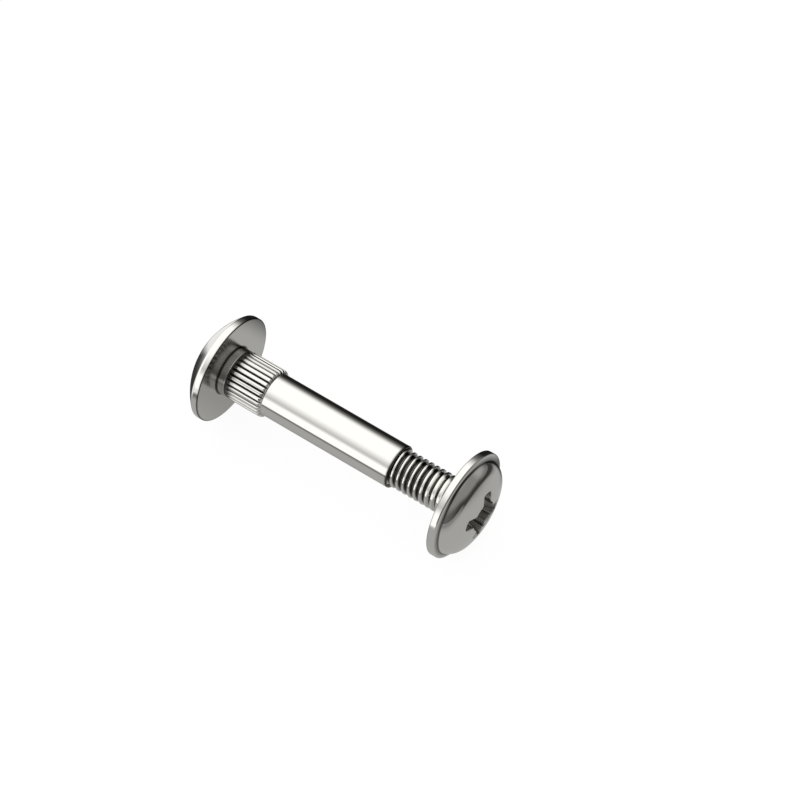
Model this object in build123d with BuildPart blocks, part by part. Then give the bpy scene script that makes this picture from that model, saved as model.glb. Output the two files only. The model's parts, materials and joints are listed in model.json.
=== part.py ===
"""Binding barrel screw: a ribbed sleeve nut with a domed head, and the domed screw that threads into it.

The bolt lies on the rims of its two heads. Its axis runs along X, from the barrel's head to the screw's
head, and the origin is on the surface it lies on, under the middle of its length. Sizes are in millimetres.
"""

import os
from math import cos, radians, sin, sqrt, tan

from build123d import *

# --- Both heads -----------------------------------------------------------------------------------------
head_diameter = 17.0          # the two rims are alike, so the bolt lies level on them
rim_chamfer = 0.12            # broken edges of each rim

# --- Barrel: head ---------------------------------------------------------------------------------------
barrel_rim_height = 1.05      # straight part of the rim, under the dome
barrel_dome_radius = 11.7     # sphere that crowns the barrel's head

# --- Barrel: collar, ribs and sleeve --------------------------------------------------------------------
barrel_length = 30.0          # from the head's underside to the mouth
sleeve_diameter = 6.8         # for a 7 mm hole in the panels
collar_diameter = 7.6
collar_length = 1.3
rib_circle_diameter = 7.72    # over the crests: a light press in the 7 mm hole
rib_count = 28
rib_lead_in = 1.7             # the ribs rise from the collar to full height over this length
rib_full_length = 3.35
rib_run_out = 1.4             # and fall to the sleeve over this one, which starts the press
groove_floor_height = 0.04    # the groove's floor stands this far outside the sleeve
groove_angle = 60.0           # between the two flanks of a groove

# --- Barrel: bore and mouth -----------------------------------------------------------------------------
bore_end_clearance = 1.0      # left past the screw's point when the screw is fully home
drill_point_angle = 118.0
mouth_chamfer = 0.12          # outer edge of the mouth
mouth_countersink = 0.10      # inner edge of the mouth

# --- Screw: thread --------------------------------------------------------------------------------------
thread_diameter = 6.0         # over the crests of the M6 thread
thread_clearance = 0.05       # running clearance all round, between the screw and the barrel's bore
screw_length = 25.0           # from the head's underside to the point
neck_diameter = 5.5           # where the thread runs out under the head
neck_length = 1.2
neck_flare = 0.3              # the neck widens by this much all round where it meets the head
point_chamfer = 0.6
thread_showing = 10.6         # from the barrel's mouth to the screw head's underside, as it lies

# --- Screw: head ----------------------------------------------------------------------------------------
screw_rim_height = 1.1        # straight part of the rim
ledge_rise = 0.25             # the ledge slopes up from the rim to the foot of the dome
ledge_width = 0.95            # left round the dome's foot
screw_dome_height = 4.3       # from the head's underside to the top of the dome
shoulder_radius = 2.45        # the dome's wall turns over this arc into its low crown
shoulder_foot_angle = 77.0    # the wall faces this far round from the bolt's axis at the dome's foot

# --- Screw: cross recess --------------------------------------------------------------------------------
recess_diameter = 7.8         # over the tips of two opposite arms, where they break the dome
recess_arm_width = 1.7
recess_core_diameter = 4.2    # round opening between the arms
recess_depth = 2.9            # from the arms' tips down to the floor
recess_arm_draft = 30.0       # the arms' tips lean inwards by this angle
recess_wall_draft = 4.0       # and the arms' sides by this one
recess_point_depth = 0.5      # cone in the floor, left by the punch
recess_turn = 68.0            # how far the first arm is turned from +Y towards +Z

# --- Worked out from the sizes above --------------------------------------------------------------------
head_radius = head_diameter / 2
sleeve_radius = sleeve_diameter / 2
thread_radius = thread_diameter / 2
bore_radius = thread_radius + thread_clearance
rib_crest_radius = rib_circle_diameter / 2
rib_full_start = collar_length + rib_lead_in
rib_full_end = rib_full_start + rib_full_length
rib_end = rib_full_end + rib_run_out
bore_depth = screw_length + bore_end_clearance
screw_seat = barrel_length + thread_showing

barrel_dome_centre = -barrel_rim_height + sqrt(barrel_dome_radius**2 - head_radius**2)
barrel_crown = barrel_dome_centre - barrel_dome_radius

# the crown is the one sphere through the dome's top that runs smoothly into the shoulder's arc
screw_crown = screw_seat + screw_dome_height
dome_foot = (screw_seat + screw_rim_height + ledge_rise, head_radius - ledge_width)
shoulder_centre = dome_foot[0] - shoulder_radius * cos(radians(shoulder_foot_angle))
shoulder_offset = dome_foot[1] - shoulder_radius * sin(radians(shoulder_foot_angle))
crown_fall = screw_crown - shoulder_centre
crown_reach = crown_fall**2 + shoulder_offset**2 - shoulder_radius**2
crown_radius = crown_reach / (2 * (crown_fall - shoulder_radius))
crown_centre = screw_crown - crown_radius
crown_share = crown_radius / (crown_radius - shoulder_radius)
shoulder_top_x = crown_centre + (shoulder_centre - crown_centre) * crown_share
shoulder_top = (shoulder_top_x, shoulder_offset * crown_share)

recess_reach = recess_diameter / 2
recess_core_radius = recess_core_diameter / 2
recess_rim = crown_centre + sqrt(crown_radius**2 - recess_reach**2)
# the recess takes the very top of the dome away, so the head ends at the edge of its round opening
screw_tip = crown_centre + sqrt(crown_radius**2 - recess_core_radius**2)

middle = (barrel_crown + screw_tip) / 2
# x runs along the bolt from the underside of the barrel's head, y runs out from the bolt's axis
along = Plane(origin=(-middle, 0, head_radius), x_dir=(1, 0, 0), z_dir=(0, -1, 0))
bolt_axis = Axis(along.origin, along.x_dir)


def across(x, turn=0.0):
    """Plane across the bolt at x, facing the screw's head and turned from +Y towards +Z, in degrees."""
    x_dir = (0, cos(radians(turn)), sin(radians(turn)))
    return Plane(origin=along.from_local_coords((x, 0, 0)), x_dir=x_dir, z_dir=(1, 0, 0))


def break_rim(piece):
    """Chamfers the two edges of a head's rim, which are the widest circles across the piece."""
    circles_across = piece.edges().filter_by(GeomType.CIRCLE).filter_by(Plane.YZ)
    chamfer(circles_across.group_by(SortBy.RADIUS)[-1], rim_chamfer)


# --- The barrel: head, collar, ribs and sleeve turned from one bar, then bored --------------------------
with BuildPart() as barrel:
    with BuildSketch(along):
        with BuildLine():
            rim_top = (-barrel_rim_height, head_radius)
            Polyline((barrel_crown, 0), (0, 0), (0, head_radius), rim_top)
            RadiusArc((barrel_crown, 0), rim_top, barrel_dome_radius)
        make_face()
    revolve(axis=bolt_axis)
    break_rim(barrel)

    # collar, ribs before they are cut, and sleeve
    with BuildSketch(along):
        with BuildLine():
            Polyline(
                (0, 0),
                (0, collar_diameter / 2),
                (collar_length, collar_diameter / 2),
                (collar_length, sleeve_radius),
                (rib_full_start, rib_crest_radius),
                (rib_full_end, rib_crest_radius),
                (rib_end, sleeve_radius),
                (barrel_length - mouth_chamfer, sleeve_radius),
                (barrel_length, sleeve_radius - mouth_chamfer),
                (barrel_length, 0),
                close=True,
            )
        make_face()
    revolve(axis=bolt_axis)

    # V grooves between the ribs, all round
    groove_floor = sleeve_radius + groove_floor_height
    groove_top = rib_crest_radius + rib_circle_diameter * 0.05
    groove_half_width = (groove_top - groove_floor) * tan(radians(groove_angle / 2))
    with BuildSketch(across(collar_length)):
        with PolarLocations(0, rib_count):
            Polygon(
                (groove_floor, 0),
                (groove_top, groove_half_width),
                (groove_top, -groove_half_width),
                align=None,
            )
    extrude(amount=rib_end - collar_length, mode=Mode.SUBTRACT)

    # blind bore with a drill point, opened a little at the mouth
    bore_bottom = barrel_length - bore_depth
    with BuildSketch(along):
        with BuildLine():
            Polyline(
                (barrel_length, 0),
                (barrel_length, bore_radius + mouth_countersink),
                (barrel_length - mouth_countersink, bore_radius),
                (bore_bottom, bore_radius),
                (bore_bottom - bore_radius / tan(radians(drill_point_angle / 2)), 0),
                close=True,
            )
        make_face()
    revolve(axis=bolt_axis, mode=Mode.SUBTRACT)

# --- The screw: domed head with a cross recess, neck and threaded shank ---------------------------------
with BuildPart() as screw:
    with BuildSketch(along):
        with BuildLine():
            rim_top = (screw_seat + screw_rim_height, head_radius)
            Polyline((screw_crown, 0), (screw_seat, 0), (screw_seat, head_radius), rim_top, dome_foot)
            RadiusArc(shoulder_top, dome_foot, -shoulder_radius)
            RadiusArc((screw_crown, 0), shoulder_top, -crown_radius)
        make_face()
    revolve(axis=bolt_axis)
    break_rim(screw)

    # shank: the thread's crests, its run-out and its point
    screw_point = screw_seat - screw_length
    with BuildSketch(along):
        with BuildLine():
            Polyline(
                (screw_seat, 0),
                (screw_seat, neck_diameter / 2 + neck_flare),
                (screw_seat - neck_flare, neck_diameter / 2),
                (screw_seat - neck_length, neck_diameter / 2),
                (screw_seat - neck_length - (thread_diameter - neck_diameter) / 2, thread_radius),
                (screw_point + point_chamfer, thread_radius),
                (screw_point, thread_radius - point_chamfer),
                (screw_point, 0),
                close=True,
            )
        make_face()
    revolve(axis=bolt_axis)

    # cross recess: straight down to the arms' tips, then drawn in by its walls, and at the tips by a cone
    recess_floor = recess_rim - recess_depth
    recess_point = recess_floor - recess_point_depth
    floor_reach = recess_reach - recess_depth * tan(radians(recess_arm_draft))
    floor_core = recess_core_radius - recess_depth * tan(radians(recess_wall_draft))
    with BuildSketch(across(recess_rim, recess_turn)) as recess_opening:
        Rectangle(recess_diameter, recess_arm_width)
        Rectangle(recess_arm_width, recess_diameter)
        Circle(recess_core_radius)
        Circle(recess_reach, mode=Mode.INTERSECT)
    extrude(amount=screw_crown - recess_rim, mode=Mode.SUBTRACT)
    recess_walls = extrude(recess_opening.sketch, -recess_depth, taper=recess_wall_draft, mode=Mode.PRIVATE)
    with BuildSketch(along):
        with BuildLine():
            Polyline((recess_rim, 0), (recess_rim, recess_reach), (recess_floor, floor_reach))
            Polyline((recess_floor, floor_reach), (recess_floor, 0), (recess_rim, 0))
        make_face()
    recess_tips = revolve(axis=bolt_axis, mode=Mode.PRIVATE)
    add(recess_walls & recess_tips, mode=Mode.SUBTRACT)

    # punched point in the recess's floor
    with BuildSketch(along):
        with BuildLine():
            Polyline((recess_floor, 0), (recess_floor, floor_core * 0.8), (recess_point, 0), close=True)
        make_face()
    revolve(axis=bolt_axis, mode=Mode.SUBTRACT)

# --- Written out ----------------------------------------------------------------------------------------
os.makedirs("parts", exist_ok=True)
barrel.part.label = "barrel"
export_step(barrel.part, "parts/barrel.step")
screw.part.label = "screw"
export_step(screw.part, "parts/screw.step")
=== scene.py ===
"""Finished surfaces of a binding barrel screw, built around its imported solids.

The bolt lies along X on the rims of its two heads. Each piece is worked out in millimetres about the bolt's
axis, from the flat underside of its own head, and is put in its place in the frame when its mesh is made.
Points of a profile are (x, r): x along the axis and r out from it.
"""

import json
import logging
import math
from dataclasses import dataclass
from enum import Enum, IntEnum

import bmesh
import bpy
import numpy as np
from mathutils import Matrix, Vector


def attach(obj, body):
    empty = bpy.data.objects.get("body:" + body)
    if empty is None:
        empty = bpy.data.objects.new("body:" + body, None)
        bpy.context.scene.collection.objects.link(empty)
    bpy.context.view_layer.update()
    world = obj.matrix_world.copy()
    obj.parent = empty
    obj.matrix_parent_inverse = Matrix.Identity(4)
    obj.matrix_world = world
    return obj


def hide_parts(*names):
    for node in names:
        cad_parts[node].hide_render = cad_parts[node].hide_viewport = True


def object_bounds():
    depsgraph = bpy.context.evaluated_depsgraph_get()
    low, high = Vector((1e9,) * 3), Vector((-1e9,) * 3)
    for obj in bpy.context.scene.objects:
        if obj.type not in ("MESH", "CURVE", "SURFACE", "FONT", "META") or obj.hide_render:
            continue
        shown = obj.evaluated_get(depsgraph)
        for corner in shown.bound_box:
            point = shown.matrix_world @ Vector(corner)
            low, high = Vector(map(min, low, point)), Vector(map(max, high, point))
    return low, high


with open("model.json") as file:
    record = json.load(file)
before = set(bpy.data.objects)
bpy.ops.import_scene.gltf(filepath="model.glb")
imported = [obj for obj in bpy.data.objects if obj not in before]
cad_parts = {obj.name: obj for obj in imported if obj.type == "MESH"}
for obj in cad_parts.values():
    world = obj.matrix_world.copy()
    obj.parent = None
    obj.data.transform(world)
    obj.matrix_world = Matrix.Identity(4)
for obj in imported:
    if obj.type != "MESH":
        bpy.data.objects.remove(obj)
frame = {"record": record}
CAD_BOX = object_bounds()

Array = np.ndarray
Pair = tuple[float, float]
MM = 0.001
FULL_TURN = 2.0 * math.pi
WELD_DISTANCE = 1e-7  # metres: where two grids meet, points nearer than this are one
SAME_POINT = 1e-5  # millimetres: and so are points of a profile nearer than this
STRAIGHT = 1e-3  # radians: a corner that turns by less than this is left as it is
NO_LENGTH = 1e-9  # stands in for a length of 0 where something is divided by it
THREAD_PITCH = 1.0  # millimetres for each turn of the M6 thread
log = logging.getLogger("binding_barrel_screw")


# --- Shapes -------------------------------------------------------------------------------------------


@dataclass(frozen=True)
class BoltLine:
    """The bolt's axis in the frame, in metres.

    Args:
        barrel_seat: x of the flat underside of the barrel's head.
        screw_seat: x of the flat underside of the screw's head.
        height: height of the axis above the surface the bolt lies on.
    """

    barrel_seat: float
    screw_seat: float
    height: float

    @classmethod
    def from_record(cls, record: dict) -> "BoltLine":
        """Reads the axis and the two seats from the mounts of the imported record."""
        places = {mount["name"]: mount["pos_m"] for mount in record["mounts"]}
        return cls(places["barrel_seat"][0], places["screw_seat"][0], places["sleeve"][2])

    @property
    def between_seats(self) -> float:
        """Distance from one seat to the other, in millimetres."""
        return (self.screw_seat - self.barrel_seat) / MM


def soft_minimum(first: Array, second: Array | float, blend: float) -> Array:
    """The smaller of two values, with the corner between them rounded.

    Formula: min(a, b) - h^2 * blend / 4, where h falls from 1 where a and b are equal to 0 where they are
    blend apart.

    Args:
        first: values a.
        second: values b, of a shape that broadcasts with a.
        blend: difference over which the corner is rounded.

    Returns:
        The blended minimum.
    """
    closeness = np.clip(1.0 - np.abs(first - second) / blend, 0.0, 1.0)
    return np.minimum(first, second) - closeness**2 * blend / 4.0


def rounded_profile(corners: Array, steps: int = 5, support: float = 0.3) -> Array:
    """A line through corners, each turned on an arc of its own radius.

    Formula: an arc of radius R at a corner that turns by w touches both sides at R * tan(w / 2) from the
    corner. The points between are the sine-weighted mean of the two arms from the arc's centre. A further
    point stands just outside each end of the arc, so that the flats beside it shade flat.

    Args:
        corners: rows (x, r, radius), first to last; the ends and corners of radius 0 stay sharp.
        steps: spans of an arc.
        support: how far outside the arc the further points stand, as a share of its length along a side.

    Returns:
        Points (x, r) along the line.
    """
    corners, radii = corners[:, :2], corners[:, 2:]
    before = np.roll(corners, 1, axis=0) - corners
    after = np.roll(corners, -1, axis=0) - corners
    before[0], after[-1] = -after[0], -before[-1]
    before = before / np.linalg.norm(before, axis=1, keepdims=True)
    after = after / np.linalg.norm(after, axis=1, keepdims=True)
    turn = math.pi - np.arccos(np.clip(np.sum(before * after, axis=1, keepdims=True), -1.0, 1.0))
    turn = np.maximum(turn, STRAIGHT)
    reach = np.where(turn > STRAIGHT, radii * np.tan(turn / 2.0), 0.0)
    bisector = before + after
    bisector = bisector / np.maximum(np.linalg.norm(bisector, axis=1, keepdims=True), NO_LENGTH)
    centre = corners + bisector * np.where(reach > 0.0, radii / np.cos(turn / 2.0), 0.0)
    start, end = corners + before * reach, corners + after * reach
    share = np.linspace(0.0, 1.0, steps + 1)[None, :, None]
    spread = turn[:, None, :]
    from_start = np.sin((1.0 - share) * spread) * (start - centre)[:, None, :]
    from_end = np.sin(share * spread) * (end - centre)[:, None, :]
    arc = centre[:, None, :] + (from_start + from_end) / np.sin(spread)
    first = (start + before * support * reach)[:, None, :]
    last = (end + after * support * reach)[:, None, :]
    line = np.concatenate([first, arc, last], axis=1).reshape(-1, 2)
    moved = np.linalg.norm(np.diff(line, axis=0), axis=1) > SAME_POINT
    return line[np.concatenate([[True], moved])]


def eased(value: Array, limits: Pair) -> Array:
    """Eases from 0 on the first limit's side to 1 on the second one's.

    Formula: 3 t^2 - 2 t^3, where t is the share of the way from the first limit to the second.

    Args:
        value: values that are compared with the limits.
        limits: where the change starts and where it ends, in either order.

    Returns:
        Values from 0 to 1.
    """
    start, end = limits
    share = np.clip((value - start) / (end - start), 0.0, 1.0)
    return share * share * (3.0 - 2.0 * share)


def nearness(profile: Array, corners: list[Pair], reach: float, rise: float = 1.6) -> Array:
    """How near each row of a profile is to the nearest of some corners.

    Formula: rise * (1 - distance / reach), held between 0 and 1.

    Args:
        profile: points (x, r).
        corners: points (x, r).
        reach: distance at which the nearness has fallen to 0.
        rise: how steeply it falls; over 1, it stays full close to the corner.

    Returns:
        Values from 1 close to a corner to 0, one row each.
    """
    distance = np.linalg.norm(profile[:, None, :] - np.array(corners)[None], axis=-1).min(axis=1)
    return np.clip(rise - rise * distance / reach, 0.0, 1.0)[:, None]


def round_the_axis(x: Array, r: Array, angles: Array) -> Array:
    """Points at x and radius r, rows by columns, for each column's angle: y = r * cos, z = r * sin."""
    return np.stack([x, r * np.cos(angles), r * np.sin(angles)], axis=-1)


def turned(profile: Array, angles: Array) -> Array:
    """The surface that a profile, points (x, r), leaves as it turns through the angles."""
    return round_the_axis(profile[:, :1] + 0.0 * angles, profile[:, 1:], angles)


def even_angles(columns: int, first: float = 0.0) -> Array:
    """Evenly spread angles from first, with the last column closing on the first."""
    return first + np.linspace(0.0, FULL_TURN, columns + 1)


class Skin:
    """One closed piece, gathered grid by grid and welded where its grids meet."""

    def __init__(self) -> None:
        """Starts with no grids."""
        self.points: list[Array] = []
        self.painted_shade_parts: list[Array] = []
        self.quads: list[Array] = []
        self.finishes: list[Array] = []
        self.count = 0

    def add(self, grid: Array, finish: Array | int, hollow: Array | float = 0.0) -> None:
        """Adds a grid of points whose neighbours are joined by quads.

        Formula: the quad of row i and column j is (i, j), (i, j+1), (i+1, j+1), (i+1, j). It faces away from
        the axis where the rows run along +X and the angles rise from +Y to +Z.

        Args:
            grid: points, rows by columns by 3.
            finish: number of the material slot, or one for each gap between rows.
            hollow: painted shade at each point, from 0 for none to 1 for the plate's full shade colour.
        """
        rows, columns = grid.shape[:2]
        index = self.count + np.arange(rows * columns).reshape(rows, columns)
        quads = np.stack([index[:-1, :-1], index[:-1, 1:], index[1:, 1:], index[1:, :-1]], axis=-1)
        self.points.append(grid.reshape(-1, 3))
        self.painted_shade_parts.append(np.broadcast_to(np.asarray(hollow, dtype=float), (rows, columns)).reshape(-1))
        self.quads.append(quads.reshape(-1, 4))
        self.finishes.append(np.repeat(np.broadcast_to(np.asarray(finish), (rows - 1,)), columns - 1))
        self.count += rows * columns

    def build(self, name: str, place: Vector, materials: list[bpy.types.Material]) -> bpy.types.Object:
        """Makes the welded mesh, in metres and in the frame.

        Args:
            name: name of the object.
            place: where the piece's own origin, on the bolt's axis, lies in the frame.
            materials: the materials that the finishes' numbers mean.

        Returns:
            The object, linked to the scene.
        """
        mesh = bpy.data.meshes.new(name)
        points = np.concatenate(self.points) * MM + np.array(place)
        mesh.from_pydata(points.tolist(), [], np.concatenate(self.quads).tolist())
        # the painted shade of each point, which darkens the plate's colour
        hollow = mesh.attributes.new("hollow", "FLOAT", "POINT")
        hollow.data.foreach_set("value", np.concatenate(self.painted_shade_parts).astype(np.float32))
        mesh.polygons.foreach_set("material_index", np.concatenate(self.finishes).astype(np.int32))
        mesh.shade_smooth()
        for material in materials:
            mesh.materials.append(material)
        body = bmesh.new()
        body.from_mesh(mesh)
        bmesh.ops.remove_doubles(body, verts=body.verts, dist=WELD_DISTANCE)
        body.to_mesh(mesh)
        body.free()
        piece = bpy.data.objects.new(name, mesh)
        bpy.context.scene.collection.objects.link(piece)
        return piece


# --- Finishes -----------------------------------------------------------------------------------------


Value = bpy.types.NodeSocket | float | tuple[float, ...]


class Wiring:
    """Adds nodes to one node tree and joins them, mostly for sums of grey values."""

    def __init__(self, tree: bpy.types.NodeTree) -> None:
        """Starts with the tree that the nodes go into."""
        self.tree = tree

    def put(self, socket: bpy.types.NodeSocket, value: Value) -> None:
        """Links a socket to another one, or sets it to a number or a colour.

        Args:
            socket: the input.
            value: the output it is linked to, or what it is set to.
        """
        if isinstance(value, bpy.types.NodeSocket):
            self.tree.links.new(value, socket)
        else:
            socket.default_value = value

    def node(self, kind: str, inputs: dict[str | int, Value], **settings: str) -> bpy.types.Node:
        """Adds a node.

        Args:
            kind: the kind of shader node, such as Math.
            inputs: what goes into its sockets, by name or number.
            settings: the node's own settings, such as its operation.

        Returns:
            The node.
        """
        node = self.tree.nodes.new("ShaderNode" + kind)
        for name, setting in settings.items():
            setattr(node, name, setting)
        for name, value in inputs.items():
            self.put(node.inputs[name], value)
        return node

    def sum(self, operation: str, first: Value, second: Value = 0.0) -> bpy.types.NodeSocket:
        """One sum of two values, such as ADD or MULTIPLY."""
        return self.node("Math", {0: first, 1: second}, operation=operation).outputs[0]

    def product(self, first: Value, *others: Value) -> bpy.types.NodeSocket:
        """Several values multiplied.

        Args:
            first: the first value.
            others: the rest.

        Returns:
            The product.
        """
        for other in others:
            first = self.sum("MULTIPLY", first, other)
        return first

    def weighed(self, values: list[Value], weights: list[float]) -> bpy.types.NodeSocket:
        """Sum of values, each times its own weight.

        Args:
            values: the values.
            weights: one for each.

        Returns:
            The sum.
        """
        total, *parts = [self.product(value, weight) for value, weight in zip(values, weights)]
        for part in parts:
            total = self.sum("ADD", total, part)
        return total

    def fade(self, value: Value, limits: Pair) -> bpy.types.NodeSocket:
        """0 on the first limit's side and 1 on the second one's, in either order, eased between them."""
        inputs = {"Value": value, "From Min": limits[0], "From Max": limits[1]}
        return self.node("MapRange", inputs, interpolation_type="SMOOTHSTEP").outputs["Result"]

    def band(self, value: Value, middle: float, reach: float) -> bpy.types.NodeSocket:
        """1 at the middle, eased to 0 at reach on both sides."""
        return self.fade(self.sum("ABSOLUTE", self.sum("SUBTRACT", value, middle)), (reach, 0.0))

    def blend(self, share: Value, low: Value, high: Value) -> bpy.types.NodeSocket:
        """Low where the share is 0 and high where it is 1."""
        return self.node("Mix", {"Factor": share, "A": low, "B": high}).outputs["Result"]

    def split(self, vector: bpy.types.NodeSocket) -> list[bpy.types.NodeSocket]:
        """The three parts of a vector."""
        return list(self.node("SeparateXYZ", {0: vector}).outputs)


class Marks(Enum):
    """Which way the tool that cut a surface left its faint lines."""

    TURNED = "rings along the axis"
    FACED = "rings about the axis"
    PRESSED = "no lines, only a fine grain"


@dataclass(frozen=True)
class NickelPlate:
    """Bright nickel plate on steel.

    Args:
        name: name of the material.
        tint: colour of the clean plate.
        shade: colour of the painted shade, which the plate falls to in grooves, creases and along dark
            lines.
        polish: roughness where it is brightest.
        haze: roughness that the dullest patches add.
        marks: the way the tool's lines run.
        mark_pitch: distance between the lines, in millimetres.
        mark_depth: depth of the lines, in millimetres.
        patches: bright and dull patches to a metre.
        patch_limits: values of the patches' noise at which the plate is brightest and dullest.
    """

    name: str
    tint: tuple[float, float, float] = (0.80, 0.79, 0.75)
    shade: tuple[float, float, float] = (0.06, 0.058, 0.054)
    polish: float = 0.035
    haze: float = 0.04
    marks: Marks = Marks.TURNED
    mark_pitch: float = 0.12
    mark_depth: float = 0.0002
    patches: float = 260.0
    patch_limits: Pair = (0.35, 0.75)

    def material(self, line: BoltLine) -> bpy.types.Material:
        """Builds the node material.

        Args:
            line: the bolt's axis, which the tool's rings are centred on.

        Returns:
            The material.
        """
        material = bpy.data.materials.new(self.name)
        material.use_nodes = True
        plate = material.node_tree.nodes["Principled BSDF"]
        plate.inputs["Metallic"].default_value = 1.0
        wiring = Wiring(material.node_tree)
        place = wiring.node("TexCoord", {}).outputs["Object"]
        about_axis = {"Vector": place, "Location": (0.0, 0.0, -line.height)}
        centred = wiring.node("Mapping", about_axis).outputs["Vector"]

        patches = wiring.node("TexNoise", {"Vector": centred, "Scale": self.patches, "Detail": 4.0})
        dullness = {
            "Value": patches.outputs["Fac"],
            "From Min": self.patch_limits[0],
            "From Max": self.patch_limits[1],
            "To Min": self.polish,
            "To Max": self.polish + self.haze,
        }
        wiring.put(plate.inputs["Roughness"], wiring.node("MapRange", dullness).outputs["Result"])

        # painted shade: each point's value mixes the plate's colour towards the shade colour
        depth = wiring.node("Attribute", {}, attribute_name="hollow").outputs["Fac"]
        colours = {"Factor": depth, "A": (*self.tint, 1.0), "B": (*self.shade, 1.0)}
        colour = wiring.node("Mix", colours, data_type="RGBA").outputs["Result"]
        wiring.put(plate.inputs["Base Color"], colour)

        relief = {"Height": self.tool_marks(wiring, centred), "Distance": self.mark_depth * MM}
        wiring.put(plate.inputs["Normal"], wiring.node("Bump", relief).outputs["Normal"])
        return material

    def tool_marks(self, wiring: Wiring, centred: bpy.types.NodeSocket) -> bpy.types.NodeSocket:
        """Height of the faint lines or the grain that a tool left.

        Formula: a grain is noise in space. Lines are noise along one distance only, which is x where they
        run along the axis and the distance from the axis where they run about it.

        Args:
            wiring: the tree's wiring.
            centred: the place on the surface, with the bolt's axis through the origin.

        Returns:
            The height.
        """
        scale = 1.0 / (self.mark_pitch * MM)
        if self.marks is Marks.PRESSED:
            return wiring.node("TexNoise", {"Vector": centred, "Scale": scale}).outputs["Fac"]
        kept = (1.0, 0.0, 0.0) if self.marks is Marks.TURNED else (0.0, 1.0, 1.0)
        flattened = wiring.node("VectorMath", {0: centred, 1: kept}, operation="MULTIPLY").outputs["Vector"]
        distance = wiring.node("VectorMath", {0: flattened}, operation="LENGTH").outputs["Value"]
        lines = {"W": distance, "Scale": scale, "Detail": 2.0}
        return wiring.node("TexNoise", lines, noise_dimensions="1D").outputs["Fac"]


# --- The barrel ---------------------------------------------------------------------------------------


class BarrelPart(IntEnum):
    """Parts of the barrel that differ in finish, each with the number of its material."""

    HEAD = 0
    SLEEVE = 1
    RIBS = 2
    BORE = 3
    UNDERSIDE = 4


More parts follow.
